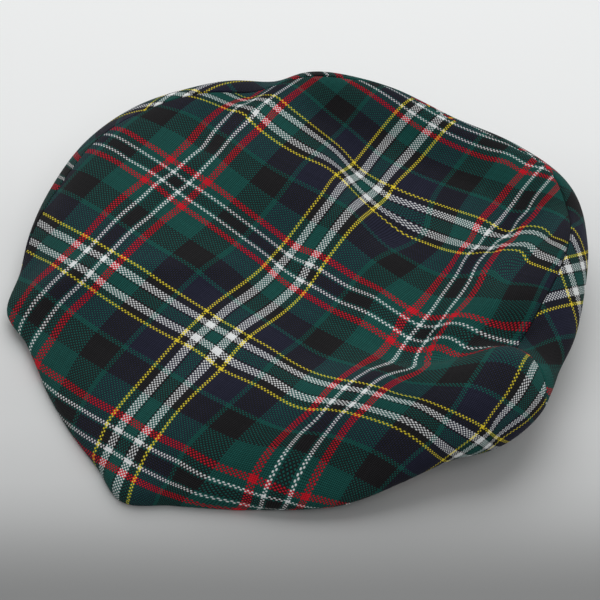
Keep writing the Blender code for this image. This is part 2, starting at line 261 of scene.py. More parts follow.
def layGrid(name, across, along):  # a flat grid whose points are then laid where the cloth runs
    bpy.ops.object.select_all(action="DESELECT")
    bpy.ops.mesh.primitive_grid_add(x_subdivisions=across, y_subdivisions=along, size=1.0)
    piece = bpy.context.object
    piece.name = name
    piece.data.name = name
    piece.data.uv_layers[0].name = "cloth"
    return piece


def layPoints(piece, points):
    piece.data.vertices.foreach_set("co", np.asarray(points, np.float32).ravel())
    piece.data.update()


def setCloth(piece, places):  # the cloth's own coordinates, one place for each point
    corners = np.zeros(len(piece.data.loops), np.int32)
    piece.data.loops.foreach_get("vertex_index", corners)
    layer = piece.data.uv_layers["cloth"].data
    layer.foreach_set("uv", np.asarray(places, np.float32)[corners].ravel())


def applyModifier(piece, kind, **settings):
    bpy.ops.object.select_all(action="DESELECT")
    piece.select_set(True)
    bpy.context.view_layer.objects.active = piece
    modifier = piece.modifiers.new(kind.title(), kind)
    for key, value in settings.items():
        setattr(modifier, key, value)
    bpy.ops.object.modifier_apply(modifier=modifier.name)


def flattenCloth(points, across, along):  # lays a curved piece flat with the least stretch
    pattern = layGrid("pattern", across, along)
    layPoints(pattern, points)
    bpy.ops.object.mode_set(mode="EDIT")
    bpy.ops.mesh.select_all(action="SELECT")
    bpy.ops.uv.unwrap(method="MINIMUM_STRETCH", iterations=20, margin=0.0)
    bpy.ops.object.mode_set(mode="OBJECT")
    mesh = pattern.data
    corners = np.zeros(len(mesh.loops), np.int32)
    mesh.loops.foreach_get("vertex_index", corners)
    flat = np.zeros(len(mesh.loops) * 2)
    mesh.uv_layers["cloth"].data.foreach_get("uv", flat)
    places = np.zeros((len(points), 2))
    places[corners] = flat.reshape(-1, 2)
    quads = np.array([face.vertices[:] for face in mesh.polygons])
    bpy.data.objects.remove(pattern, do_unlink=True)

    def quadArea(spots):
        first = spots[quads[:, 2]] - spots[quads[:, 0]]
        second = spots[quads[:, 3]] - spots[quads[:, 1]]
        return np.abs(np.linalg.norm(np.cross(first, second), axis=-1)).sum() / 2

    flatSpots = np.concatenate((places, np.zeros((len(places), 1))), 1)
    return places * math.sqrt(quadArea(points) / quadArea(flatSpots))


def refine(values, times):  # fills a coarse grid of values in to a finer one
    for axis in (1, 0):
        knots = np.arange(values.shape[axis])
        fine = np.linspace(0, knots[-1], knots[-1] * times + 1)
        values = np.apply_along_axis(lambda line: np.interp(fine, knots, line), axis, values)
    return values


def cameraAxes():
    azimuth, elevation = math.radians(viewpoint["azimuth"]), math.radians(viewpoint["elevation"])
    back = Vector((math.sin(azimuth) * math.cos(elevation), -math.cos(azimuth) * math.cos(elevation),
                   math.sin(elevation)))
    right = Vector((math.cos(azimuth), math.sin(azimuth), 0.0))
    return back, right, back.cross(right)


def pixelRay(x, y):  # where the eye is, and the way it looks through a pixel
    back, right, up = cameraAxes()
    eye = Vector(viewpoint["target"]) + back * viewpoint["distance"]
    half = viewpoint["framePixels"] / 2
    reach = viewpoint["framePixels"] * viewpoint["lens"] / viewpoint["sensor"]
    return eye, (right * (x - half) + up * (half - y) - back * reach).normalized()


class PlateBend:  # a thin plate bent so that each place takes its value, a little stiff
    batches = 40  # keeps the memory small

    def __init__(self, places, values, stiffness):
        self.places = np.asarray(places, float)
        count = len(self.places)
        system = np.zeros((count + 3, count + 3))
        system[:count, :count] = self.pull(self.places) + stiffness * np.eye(count)
        system[:count, count:] = np.column_stack((np.ones(count), self.places))
        system[count:, :count] = system[:count, count:].T
        goal = np.zeros((count + 3, 2))
        goal[:count] = values
        self.weights = np.linalg.solve(system, goal)

    def pull(self, spots):
        away = ((spots[:, None] - self.places[None]) ** 2).sum(-1)
        return 0.5 * away * np.log(np.maximum(away, 1e-18))

    def __call__(self, spots):
        ones = np.column_stack((np.ones(len(spots)), spots))
        count = len(self.places)
        parts = np.array_split(spots, self.batches)
        bent = np.concatenate([self.pull(part) @ self.weights[:count] for part in parts])
        return bent + ones @ self.weights[count:]


# The top panel: a round of cloth whose edge is turned in at the seam and over the peak's board
crown = {
    "mainRings": 84,
    "edgeRings": 12,
    "coarser": 3,
    "turnRadius": 0.0010,
    "allowance": 0.0020,
    "seamGap": 0.0002,
    "overBoard": 0.0030,
    "peakBlend": 1.5,
    "smoothMiddle": 0.62,
    "bowlFit": (0.5, 1.3),
    "bowlFull": 0.25,
    "flatMiddle": 0.06,
    "ripple": 0.00025,
    "rippleLength": 0.030,
    "finerRipple": (0.5, 2.3),
    "stiffness": 8e-7,
    "flat": (0.345, 0.335),
    "flatArea": 0.0650,
}

# Where the lines of the cloth cross in the picture: counts of half repeats across and along, and the pixel
crossingColumns = ("across", "along", "pixelX", "pixelY")
crossings = (
    (-0.099, 0.099, 210.5, 324.1), (0.099, 0.099, 232.5, 336.5), (-0.099, -0.099, 195.2, 337.5),
    (0.099, -0.099, 217.2, 351.8), (-0.185, 0.185, 206.6, 310.7), (0.185, 0.185, 249.7, 336.5),
    (-0.185, -0.185, 177.0, 340.4), (0.185, -0.185, 221.0, 369.0), (-1.062, 0.099, 87.5, 249.4),
    (-0.938, 0.099, 104.4, 258.2), (-1.062, -0.099, 72.6, 264.3), (-0.938, -0.099, 89.7, 274.4),
    (-1.062, 0.185, 95.2, 241.4), (-0.938, 0.185, 111.6, 251.1), (-1.062, -0.185, 64.1, 271.9),
    (-0.938, -0.185, 81.7, 283.2), (-1.142, 0.185, 85.8, 236.2), (-0.858, 0.185, 122.6, 257.2),
    (-1.142, -0.185, 54.8, 265.9), (-0.858, -0.185, 92.3, 289.7), (-1.142, 0.099, 77.6, 244.2),
    (-0.858, 0.099, 114.8, 265.0), (-1.142, -0.099, 62.2, 258.9), (-0.858, -0.099, 99.2, 281.5),
    (-1.363, 0.099, 52.5, 230.8), (-1.363, 0.185, 60.5, 223.0), (-1.363, -0.099, 37.5, 245.2),
    (-1.363, -0.185, 33.5, 254.8), (-1.57, 0.185, 38.3, 212.3), (-1.53, -0.185, 25.5, 253.0),
    (-0.938, -0.432, 59.0, 305.0), (-1.062, -0.432, 43.3, 292.6), (-1.142, -0.432, 33.5, 284.5),
    (-0.858, -0.432, 69.3, 311.8), (-0.858, -0.637, 52.5, 336.5), (-0.637, -0.637, 80.0, 354.2),
    (-0.938, -0.637, 41.3, 329.0), (-1.062, -0.637, 24.4, 317.2), (-1.142, -0.637, 16.0, 311.5),
    (-0.858, -0.858, 36.4, 364.2), (-0.637, -0.858, 63.8, 382.7), (-0.432, -0.858, 85.5, 397.3),
    (-0.185, -0.858, 114.2, 412.7), (-0.099, -0.858, 125.2, 418.7), (0.099, -0.858, 146.8, 431.6),
    (0.185, -0.858, 158.0, 437.7), (0.432, -0.858, 185.5, 450.0), (-0.185, -0.938, 106.7, 423.9),
    (-0.099, -0.938, 117.8, 429.8), (0.099, -0.938, 139.4, 442.0), (0.185, -0.938, 149.8, 448.1),
    (-0.432, -0.938, 79.8, 408.2), (-0.637, -0.938, 57.5, 394.5), (0.432, -0.938, 178.5, 461.9),
    (-0.185, -1.062, 98.1, 443.8), (-0.099, -1.062, 107.8, 449.3), (0.099, -1.062, 128.6, 462.0),
    (0.185, -1.062, 139.8, 468.0), (-0.432, -1.062, 72.5, 427.5), (0.432, -1.062, 168.3, 482.4),
    (0.637, -1.062, 192.5, 492.5), (0.858, -1.062, 246.5, 505.0), (-0.185, -1.142, 93.4, 456.2),
    (-0.099, -1.142, 102.6, 461.1), (0.099, -1.142, 123.4, 472.8), (0.185, -1.142, 134.6, 478.9),
    (0.432, -1.142, 161.5, 491.0), (0.637, -1.142, 184.0, 498.6), (0.099, -1.275, 116.3, 490.0),
    (0.185, -1.275, 129.3, 496.0), (-1.142, 1.142, 170.9, 160.4), (-1.142, 0.858, 145.8, 179.9),
    (-0.858, 0.858, 181.3, 205.5), (-1.062, 1.062, 173.5, 171.7), (-0.938, 0.938, 177.9, 192.1),
    (-0.938, 1.062, 189.3, 183.2), (-1.062, 0.938, 162.0, 179.8), (-1.142, 1.062, 164.0, 165.6),
    (-1.142, 0.938, 152.3, 173.0), (-1.062, 1.142, 180.0, 166.1), (-1.062, 0.858, 154.9, 184.7),
    (-0.938, 0.858, 171.4, 197.7), (-0.858, 1.062, 198.4, 188.8), (-0.858, 1.142, 206.4, 182.0),
    (-0.938, 1.142, 196.4, 176.0), (-1.568, 1.142, 121.0, 130.0), (-1.568, 0.858, 97.0, 152.1),
    (-1.363, 1.142, 144.6, 143.3), (-1.363, 0.858, 120.6, 163.7), (-1.363, 1.062, 138.3, 149.1),
    (-1.363, 0.938, 127.5, 159.1), (-1.142, 0.52, 113.7, 205.9), (-1.062, 0.577, 129.3, 207.7),
    (-1.062, 0.383, 112.0, 223.7), (-0.938, 0.631, 151.0, 215.5), (-0.938, 0.375, 127.4, 234.7),
    (-0.858, 0.653, 162.3, 219.8), (-0.185, 1.815, 336.4, 174.8), (0.185, 1.815, 372.4, 209.6),
    (0.185, 2.185, 393.2, 186.8), (-0.185, 2.185, 354.0, 162.4), (-0.099, 1.901, 349.6, 178.8),
    (0.099, 1.901, 367.6, 198.0), (-0.099, 2.099, 358.8, 174.8), (0.099, 2.099, 378.4, 189.2),
    (0.185, 1.901, 376.8, 206.0), (-0.185, 1.901, 342.8, 170.8), (-0.185, 2.099, 349.6, 166.8),
    (0.185, 2.099, 388.0, 195.6), (-0.487, 1.815, 300.4, 155.6), (-0.304, 1.901, 330.0, 161.2),
    (-0.468, 1.901, 310.0, 151.6), (-0.281, 2.099, 341.2, 156.4), (-0.346, 2.099, 334.8, 150.0),
    (-0.099, 1.568, 330.8, 199.6), (0.099, 1.568, 350.8, 210.8), (-0.185, 1.568, 321.5, 194.6),
    (-0.099, 1.363, 313.6, 221.8), (0.099, 1.363, 334.5, 230.6), (-0.099, 1.142, 295.2, 247.2),
    (0.099, 1.142, 316.3, 255.0), (0.185, 1.142, 326.7, 260.1), (-1.142, 1.815, 224.0, 108.0),
    (-1.142, 1.901, 230.0, 104.8), (-1.142, 2.099, 243.2, 100.0), (-1.142, 2.185, 251.2, 98.0),
    (-1.062, 1.815, 233.2, 110.8), (-1.062, 1.901, 239.2, 105.6), (-1.062, 2.099, 254.4, 99.2),
    (-0.938, 1.815, 249.6, 120.0), (-0.938, 1.901, 255.6, 113.2), (-0.938, 2.099, 267.6, 100.8),
    (-0.938, 2.185, 274.0, 95.6), (-0.858, 1.815, 258.4, 128.4), (-0.858, 1.901, 265.2, 121.2),
    (-0.858, 2.099, 277.2, 108.0), (-0.858, 2.185, 283.6, 102.0), (-1.062, 1.568, 214.4, 130.8),
    (-0.938, 1.568, 229.6, 139.6), (-1.062, 1.363, 201.2, 148.4), (-0.938, 1.363, 216.0, 155.6),
    (-0.185, 0.858, 265.0, 264.7), (-0.185, 1.142, 286.0, 240.8), (-0.099, 0.938, 278.4, 265.7),
    (0.185, 1.062, 320.4, 269.6), (0.185, 0.938, 310.0, 284.8), (0.185, 0.858, 303.6, 293.2),
    (0.099, 1.062, 310.0, 264.4), (0.099, 0.938, 301.2, 280.8), (0.432, 1.062, 350.4, 287.6),
    (0.432, 0.938, 338.6, 301.2), (0.637, 1.062, 374.4, 297.2), (0.637, 0.938, 366.4, 312.4),
    (0.858, 1.142, 413.6, 311.8), (0.858, 1.062, 405.0, 317.5), (0.858, 0.938, 398.4, 331.6),
    (0.858, 0.858, 392.0, 340.4), (0.938, 1.062, 420.0, 325.2), (0.938, 0.938, 408.8, 338.0),
    (0.858, 1.815, 459.6, 252.8), (0.858, 1.901, 465.6, 245.6), (0.858, 2.099, 477.2, 226.8),
    (0.858, 2.185, 482.4, 219.2), (0.938, 1.815, 468.8, 253.6), (0.938, 1.901, 476.4, 247.6),
    (0.938, 2.099, 488.0, 232.0), (0.938, 2.185, 494.4, 225.2), (1.062, 1.815, 487.2, 252.0),
    (1.062, 1.901, 490.4, 249.2), (1.062, 2.099, 506.0, 236.4), (1.062, 2.185, 512.4, 230.6),
    (1.142, 1.815, 497.6, 250.8), (1.142, 1.901, 503.2, 245.2), (1.142, 2.099, 516.8, 233.2),
    (1.142, 2.185, 520.8, 227.2), (0.858, 1.568, 443.0, 276.4), (0.938, 1.568, 455.0, 277.0),
    (1.062, 1.568, 472.0, 275.5), (1.142, 1.568, 483.0, 272.5), (0.938, 1.142, 425.6, 317.6),
    (1.062, 1.142, 443.6, 317.6), (1.142, 1.142, 452.8, 315.6), (1.062, 1.062, 437.6, 326.0),
    (1.142, 1.062, 446.0, 323.6), (0.938, 0.858, 402.8, 346.4), (1.062, 0.938, 426.4, 341.6),
    (1.062, 0.858, 420.4, 349.2), (1.142, 0.938, 436.0, 337.6), (1.142, 0.858, 431.2, 346.4),
    (0.938, 0.637, 389.6, 362.8), (1.062, 0.637, 409.0, 369.3), (1.142, 0.637, 419.0, 371.0),
    (0.858, 0.432, 360.0, 366.2), (0.938, 0.432, 372.0, 368.4), (1.062, 0.432, 389.6, 374.4),
    (1.142, 0.432, 398.4, 379.6), (0.858, 0.185, 340.8, 379.6), (0.938, 0.185, 352.0, 381.2),
    (1.062, 0.185, 371.2, 385.2), (1.142, 0.185, 384.0, 388.4), (0.938, 0.099, 344.8, 387.6),
    (1.062, 0.099, 365.2, 390.8), (1.142, 0.099, 377.2, 394.0), (1.062, -0.099, 352.0, 404.8),
    (1.142, -0.099, 364.0, 407.6), (1.062, -0.185, 344.0, 411.6), (1.142, -0.185, 356.0, 414.8),
    (1.363, 1.142, 489.5, 323.5), (1.568, 1.142, 520.5, 327.6), (1.363, 1.062, 480.0, 332.3),
    (1.363, 0.938, 466.5, 347.5), (1.363, 0.858, 461.0, 354.5), (1.363, 2.185, 552.0, 236.4),
    (1.568, 2.185, 568.0, 243.2), (1.363, 2.432, 566.0, 218.0), (1.363, 2.099, 547.0, 238.3),
    (1.568, 2.099, 563.0, 247.3), (1.363, 1.901, 534.5, 251.6), (1.568, 1.901, 556.0, 261.3),
    (1.363, 1.815, 528.0, 261.3), (1.568, 1.815, 549.5, 270.0), (1.363, 1.568, 511.0, 284.0),
    (1.568, 1.25, 530.0, 310.0), (1.363, 0.099, 414.5, 403.5), (1.363, -0.099, 399.6, 418.8),
    (1.568, 0.099, 444.8, 419.6), (1.568, -0.099, 432.8, 438.8), (1.568, 0.432, 467.0, 384.5),
    (1.815, 0.185, 482.4, 426.8), (1.901, 0.185, 489.6, 432.4), (1.815, 0.099, 474.4, 436.4),
    (1.901, 0.099, 480.8, 439.6), (2.099, 0.185, 496.0, 437.6), (2.185, 0.185, 500.8, 439.6),
    (1.815, 0.432, 503.0, 399.3), (1.901, 0.432, 511.0, 404.0), (2.099, 0.432, 526.5, 414.5),
    (2.185, 0.432, 530.5, 417.8), (1.815, 0.637, 519.0, 371.0), (1.901, 0.637, 528.0, 378.0),
    (2.099, 0.637, 541.0, 396.0), (2.185, 0.637, 545.5, 400.0), (1.815, -0.185, 443.0, 460.0),
    (0.858, -0.858, 253.6, 480.0), (0.938, -0.858, 267.2, 485.6), (1.062, -0.858, 290.8, 494.8),
    (1.142, -0.858, 304.0, 497.6), (0.858, -0.938, 250.0, 492.4), (0.938, -0.938, 263.2, 496.4),
    (1.062, -0.938, 288.0, 501.6), (0.858, -0.185, 312.8, 409.6), (0.938, -0.185, 324.8, 409.2),
    (0.858, -0.432, 288.5, 431.5), (0.938, -0.432, 301.0, 433.0), (1.062, -0.432, 324.5, 435.5),
    (0.938, -0.637, 289.0, 447.0), (1.062, -0.637, 311.0, 454.5), (0.858, 2.858, 524.4, 172.0),
    (0.938, 2.858, 536.0, 173.6), (1.062, 2.858, 551.2, 178.0), (1.142, 2.858, 562.4, 185.2),
    (0.858, 2.938, 529.6, 165.6), (0.938, 2.938, 541.6, 168.0), (1.062, 2.938, 558.8, 177.6),
    (-0.858, 2.858, 328.0, 72.0), (0.718, 2.858, 507.2, 162.0), (0.58, 2.858, 488.8, 158.0),
    (0.667, 2.938, 505.6, 153.2), (0.858, 2.432, 497.3, 203.2), (0.858, 2.637, 510.8, 186.5),
    (1.142, 2.432, 538.4, 206.8), (1.142, 2.637, 549.0, 195.0), (0.938, 2.432, 508.4, 209.2),
    (1.062, 2.432, 527.6, 210.4), (0.5, 1.904, 433.9, 236.0), (0.5, 2.096, 440.0, 214.0),
    (0.5, 0.096, 285.0, 366.0), (0.5, -0.096, 271.0, 380.0),
)


def overPeak(angles):  # 1 along the peak's edge and 0 past its ends
    left, right, blend = capForm["peakLeft"], capForm["peakRight"], crown["peakBlend"]
    return smoothStep(left, left + blend, angles) * (1 - smoothStep(right - blend, right, angles))


def concentric(rings):  # the angle and the ring of each point of a square grid laid out as a disc
    side = np.arange(-rings, rings + 1)
    across, along = (part.ravel().astype(float) for part in np.meshgrid(side, side))
    ring = np.maximum(np.abs(across), np.abs(along))
    wide = np.abs(across) >= np.abs(along)
    safeAcross = np.where(across == 0, 1.0, across)
    safeAlong = np.where(along == 0, 1.0, along)
    turn = np.where(wide, 45 * along / safeAcross + np.where(across < 0, 180.0, 0.0),
                    90 - 45 * across / safeAlong + np.where(along < 0, 180.0, 0.0))
    return turn, ring


def seamEdge(angles, radius, gap, side):  # where the cloth's edge begins to turn, and the ways there
    seam = roundValue("seam", angles)
    point, out, about, down = skinFrame(angles, seam)
    step = sampling["station"]
    moved = skin(angles, seam + step) - skin(angles, seam - step)
    perStation = np.linalg.norm(np.cross(moved, about), axis=1) / (2 * step)
    share = (radius + gap / 2) / perStation
    return seam + side * share, point + side * (radius + gap / 2) * down, out, down


def turnedEdge(start, out, way, straight, radius, distance):  # straight on, round the turn and inwards
    quarter = math.pi / 2 * radius
    level = np.minimum(distance, straight)
    bend = np.clip((distance - straight) / radius, 0.0, math.pi / 2)
    inward = np.maximum(distance - straight - quarter, 0.0)
    return (start + way * (level + radius * np.sin(bend))[:, None]
            - out * (radius * (1 - np.cos(bend)) + inward)[:, None])


def easeMiddle(points, stations):  # the middle of the crown is one smooth bowl
    limit = crown["smoothMiddle"]
    inner, outer = crown["bowlFit"]
    near = (stations > inner * limit) & (stations < outer * limit)

    def terms(x, y):
        x, y = x * 10, y * 10  # decimetres
        return np.column_stack((np.ones_like(x), x, y, x * x, x * y, y * y,
                                x ** 3, x * x * y, x * y * y, y ** 3))

    fit = np.linalg.lstsq(terms(points[near, 0], points[near, 1]), points[near, 2], rcond=None)[0]
    share = 1 - smoothStep(crown["bowlFull"] * limit, limit, stations)
    bowl = terms(points[:, 0], points[:, 1]) @ fit
    points[:, 2] += share * (bowl - points[:, 2])
    return points


def ripples(points, out):  # small unevenness of soft cloth
    size = crown["rippleLength"]
    share, finer = crown["finerRipple"]
    waves = np.array([noise.noise(Vector(point) / size) + share * noise.noise(Vector(point) / size * finer)
                      for point in points])
    return points + out * (crown["ripple"] * waves)[:, None]


def crownPoints():
    rings = crown["mainRings"] + crown["edgeRings"]
    angles, ring = concentric(rings)
    edgeStation, edge, out, down = seamEdge(angles, crown["turnRadius"], crown["seamGap"], -1)
    main = np.minimum(ring / crown["mainRings"], 1.0)
    stations = main * edgeStation
    points = easeMiddle(skin(angles, stations), stations)
    straight = crown["overBoard"] * overPeak(angles - 360 * (angles > 360 + capForm["peakLeft"] - 1e-6))
    length = straight + math.pi / 2 * crown["turnRadius"] + crown["allowance"]
    past = (ring - crown["mainRings"]) / crown["edgeRings"]
    turned = turnedEdge(edge, out, down, straight, crown["turnRadius"], np.maximum(past, 0.0) * length)
    return np.where((past > 0)[:, None], turned, points)


def makeCrown():
    print("top panel")
    rings = crown["mainRings"] + crown["edgeRings"]
    points = crownPoints()
    side = 2 * rings + 1
    piece = layGrid("crownCloth", 2 * rings, 2 * rings)
    layPoints(piece, points)
    normals = np.zeros(len(points) * 3, np.float32)
    piece.data.vertices.foreach_get("normal", normals)
    points = ripples(points, normals.reshape(-1, 3))
    layPoints(piece, points)

    step = crown["coarser"]
    grid = points.reshape(side, side, 3)
    coarse = grid[::step, ::step].reshape(-1, 3)
    count = 2 * rings // step
    flat = flattenCloth(coarse, count, count)
    guess = points[:, :2]
    coarseGuess = guess.reshape(side, side, 2)[::step, ::step].reshape(-1, 2)
    near = np.linalg.norm(coarseGuess, axis=1) < crown["flatMiddle"]
    turned = alignFlat(flat, coarseGuess, near)
    rest = refine((turned - coarseGuess).reshape(count + 1, count + 1, 2), step)
    flat = guess + rest.reshape(-1, 2)

    places, values = readCrossings(crossings, piece, points, flat)
    bend = PlateBend(places, values, crown["stiffness"])
    cloth = bend(flat)
    missed = np.linalg.norm(bend(places) - values, axis=1)
    print("crossings", len(places), "furthest off, in half repeats", round(float(missed.max()), 3))
    setCloth(piece, cloth)
    applyModifier(piece, "SOLIDIFY", thickness=capForm["cloth"], offset=-1.0, use_even_offset=False)
    piece.data.shade_smooth()
    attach(piece, "root")
    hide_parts("crown_top")
    return piece


def alignFlat(flat, guess, near):  # turns a flat pattern to lie over its guess, where that is trusted
    middle = flat[near].mean(axis=0)
    goal = guess[near].mean(axis=0)
    spread = (flat[near] - middle).T @ (guess[near] - goal)
    left, _, right = np.linalg.svd(spread)
    return (flat - middle) @ (left @ right) + goal


def readCrossings(marks, piece, points, flat):  # where each crossing lies on the flat cloth
    tree = BVHTree.FromPolygons([Vector(point) for point in points],
                                [tuple(face.vertices) for face in piece.data.polygons])
    places = []
    values = []
    for row in marks:
        mark = dict(zip(crossingColumns, row))
        eye, way = pixelRay(mark["pixelX"], mark["pixelY"])
        spot, _, face, _ = tree.ray_cast(eye, way)
        if spot is None:
            print("no cloth at", mark["pixelX"], mark["pixelY"])
            continue
        corners = list(piece.data.polygons[face].vertices)
        weights = np.array(quadWeights([points[corner] for corner in corners], np.array(spot)))
        places.append(weights @ flat[corners])
        values.append((mark["across"], mark["along"]))
    return np.array(places), np.array(values)


def halfTurn(first, second):  # the tangent of half the angle between two ways
    size = max(np.linalg.norm(first) * np.linalg.norm(second), 1e-18)
    return math.tan(math.acos(max(-1.0, min(1.0, float(first @ second / size)))) / 2)


def quadWeights(corners, spot):  # each corner's share, from the angles that its sides fill at the spot
    ways = np.array(corners) - spot
    distances = np.maximum(np.linalg.norm(ways, axis=1), 1e-9)
    weights = []
    for index in range(4):
        before, after = ways[index - 1], ways[(index + 1) % 4]
        here = ways[index]
        weights.append((halfTurn(before, here) + halfTurn(here, after)) / distances[index])
    return [weight / sum(weights) for weight in weights]


# The side panels: strips from the seam of the top panel down to the hem, joined at the centre back
sidePanel = {
    "columns": 200,
    "rows": 45,
    "edgeRows": 10,
    "hemRows": 10,
    "endColumns": 5,
    "turnRadius": 0.0010,
    "allowance": 0.0020,
    "seamGap": 0.0002,
    "hemRadius": 0.0008,
    "hemTurnUp": 0.012,
    "coarser": 2,
    "upperShare": 0.55,
    "repeat": 0.0690,
    "mostShrunk": 1.15,
    # two lines of the cloth, in half repeats, and the pixel where they cross
    "rightCrossings": ((-0.185, 0.185, 584.5, 256.5), (0.185, -0.185, 573.0, 300.5)),
    "leftCrossings": ((-0.185, 0.185, 145.0, 111.0), (0.099, -0.099, 188.0, 96.5)),
}


def sidePoints(first, last):  # rows run from the seam to the hem, columns from the peak to the back
    radius = sidePanel["turnRadius"]
    ends = sidePanel["endColumns"]
    onePlace = math.degrees(radius / capForm["halfWidth"])
    main = np.linspace(first + onePlace, last - onePlace, sidePanel["columns"] + 1 - 2 * ends)
    bends = np.linspace(0, math.pi / 2, ends + 1)[1:]
    starts = first + onePlace * (1 - np.sin(bends))
    columns = np.concatenate((starts[::-1], main, last - onePlace * (1 - np.sin(bends))))
    pushed = radius * (1 - np.cos(bends))
    pushes = np.concatenate((pushed[::-1], np.zeros(len(main)), pushed))
    edgeStation, edge, out, down = seamEdge(columns, radius, sidePanel["seamGap"], 1)
    length = math.pi / 2 * radius + sidePanel["allowance"]
    rows = []
    for index in range(sidePanel["edgeRows"], 0, -1):
        distance = np.full(len(columns), length * index / sidePanel["edgeRows"])
        turned = turnedEdge(edge, out, -down, np.zeros(len(columns)), radius, distance)
        rows.append(turned - out * pushes[:, None])
    upper, turnStation = sidePanel["upperShare"], stationOf["turn"]
    for share in np.linspace(0, 1, sidePanel["rows"]):
        if share > upper:
            stations = np.full(len(columns), turnStation + (share - upper) / (1 - upper))
        else:
            stations = edgeStation + (turnStation - edgeStation) * share / upper
        point, way, _, _ = skinFrame(columns, stations)
        rows.append(point - way * pushes[:, None])
    hemX, hemY = onHem(columns)
    inward = unit(np.stack((-hemX, -hemY, np.zeros_like(hemX)), -1))
    top = rows[-1]
    band = top[:, 2]
    turn = sidePanel["hemRadius"]
    straight = np.maximum(band - turn, 0.0)
    total = straight + math.pi * turn + sidePanel["hemTurnUp"]
    for index in range(1, sidePanel["hemRows"] + 1):
        distance = total * index / sidePanel["hemRows"]
        level = np.minimum(distance, straight)
        bend = np.clip((distance - straight) / turn, 0.0, math.pi)
        up = np.maximum(distance - straight - math.pi * turn, 0.0)
        drop = level + turn * np.sin(bend) - up
        reach = turn * (1 - np.cos(bend))
        rows.append(top + inward * reach[:, None] - np.array((0, 0, 1.0)) * drop[:, None])
    return np.array(rows)


def makeSide(name, node, first, last, anchors):
    print(name)
    rows = sidePoints(first, last)
    height, width = rows.shape[:2]
    points = rows[::-1].reshape(-1, 3)  # a grid's rows run upwards
    piece = layGrid(name, width - 1, height - 1)
    layPoints(piece, points)
    step = sidePanel["coarser"]
    coarse = points.reshape(height, width, 3)[::step, ::step]
    flat = flattenCloth(coarse.reshape(-1, 3), coarse.shape[1] - 1, coarse.shape[0] - 1)
    flat = refine(flat.reshape(coarse.shape[0], coarse.shape[1], 2), step).reshape(-1, 2)
    setCloth(piece, pinCloth(piece, points, flat, anchors))
    applyModifier(piece, "SOLIDIFY", thickness=capForm["cloth"], offset=-1.0, use_even_offset=False)
    piece.data.shade_smooth()
    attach(piece, "root")
    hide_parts(node)
    return piece


def pinCloth(piece, points, flat, marks):  # turns the flat strip so that its crossings fall nearly right
    places, goals = readCrossings(marks, piece, points, flat)
    middle, goal = places.mean(axis=0), goals.mean(axis=0)
    start = (places - middle) @ (1, 1j)
    end = (goals - goal) @ (1, 1j)
    turn = np.vdot(start, end)
    size = abs(turn) / np.vdot(start, start).real * sidePanel["repeat"]
    size = min(max(size, 1.0), sidePanel["mostShrunk"]) / sidePanel["repeat"]
    spots = (flat - middle) @ (1, 1j) * turn / abs(turn) * size
    print("side crossings", len(places), "repeat", round(1 / size, 4))
    return np.stack((spots.real, spots.imag), -1) + goal


# The peak: a stiff board, covered below with the same cloth
peak = {
    "columns": 96,
    "rows": 20,
    "arch": 0.0050,
    "tuck": 0.0012,
    "edgeRound": 0.0009,
    "edgeSegments": 3,
    "edgeAngle": 50,
    "repeat": 0.0690,
}


def makePeak():
    print("peak")
    turn = math.degrees(capForm["gap"] / capForm["headHalfWidth"]) * 2
    angles = np.linspace(capForm["peakLeft"] + turn, capForm["peakRight"] - turn, peak["columns"] + 1)
    middle = (capForm["peakLeft"] + capForm["peakRight"]) / 2
    half = (capForm["peakRight"] - capForm["peakLeft"]) / 2
    near = np.stack(onHem(angles), -1)
    far = np.stack(onPlan(angles, roundValue("wide", angles)), -1)
    far = far * (1 - peak["tuck"] / np.linalg.norm(far, axis=1))[:, None]
    rows = []
    for share in np.linspace(1, 0, peak["rows"] + 1):
        place = near + share * (far - near)
        arch = peak["arch"] * (1 - share) * (1 - ((angles - middle) / half) ** 2)
        top = heightAt(roundValue("wideZ", angles)) - capForm["gap"] + arch
        rows.append(np.column_stack((place - np.array(capForm["middle"][:2]), top)))
    points = np.array(rows).reshape(-1, 3)
    piece = layGrid("peakCloth", peak["columns"], peak["rows"])
    layPoints(piece, points)
    setCloth(piece, points[:, :2] / peak["repeat"])
    applyModifier(piece, "SOLIDIFY", thickness=capForm["board"] - capForm["gap"], offset=-1.0)
    applyModifier(piece, "BEVEL", width=peak["edgeRound"], segments=peak["edgeSegments"],
                  limit_method="ANGLE", angle_limit=math.radians(peak["edgeAngle"]))
    piece.data.shade_smooth()
    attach(piece, "root")
    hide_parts("peak")
    return piece


# The cloth: a mirrored half repeat of stripes both ways, its threads over and under each other in turn
tartan = {
    "threads": 81,
    "colours": {
        "black": (0.0230, 0.0225, 0.0245),
        "green": (0.0155, 0.1180, 0.1020),
        "navy": (0.0270, 0.0290, 0.0570),
        "white": (0.93, 0.95, 0.95),
        "yellow": (0.95, 0.78, 0.060),
        "red": (0.72, 0.020, 0.040),
    },
    # each stripe's colour, and the share of the half repeat where it ends
    "stripes": (
        ("black", 0.031), ("green", 0.054), ("white", 0.075), ("green", 0.120), ("red", 0.166),
        ("green", 0.363), ("black", 0.549), ("green", 0.593), ("navy", 0.803), ("yellow", 0.827),
        ("black", 0.874), ("white", 0.930), ("black", 0.952), ("green", 1.0),
    ),
    # how much each thread is darkened towards its sides: painted shade in the creases between threads
    "creaseShade": 0.25,
    # how far the thread's colour is multiplied by the thread beneath where they meet: partly the under
    # thread showing, partly painted shade in the gaps
    "meeting": 1.20,
    "roundAcross": 0.6,
    "roundAlong": 0.4,
    "depth": 0.00012,
    "warpSeed": 3.7,
    "weftSeed": 8.1,
    "threadSpread": 0.20,
    # noise by its scale, detail and spread
    "fuzz": (900.0, 2.0, 0.36),
    "worn": (38.0, 3.0, 0.16),
    "fuzzRelief": 0.5,
    "roughness": 0.90,
    "specular": 0.12,
    "sheen": 0.03,
    "sheenRoughness": 0.45,
}


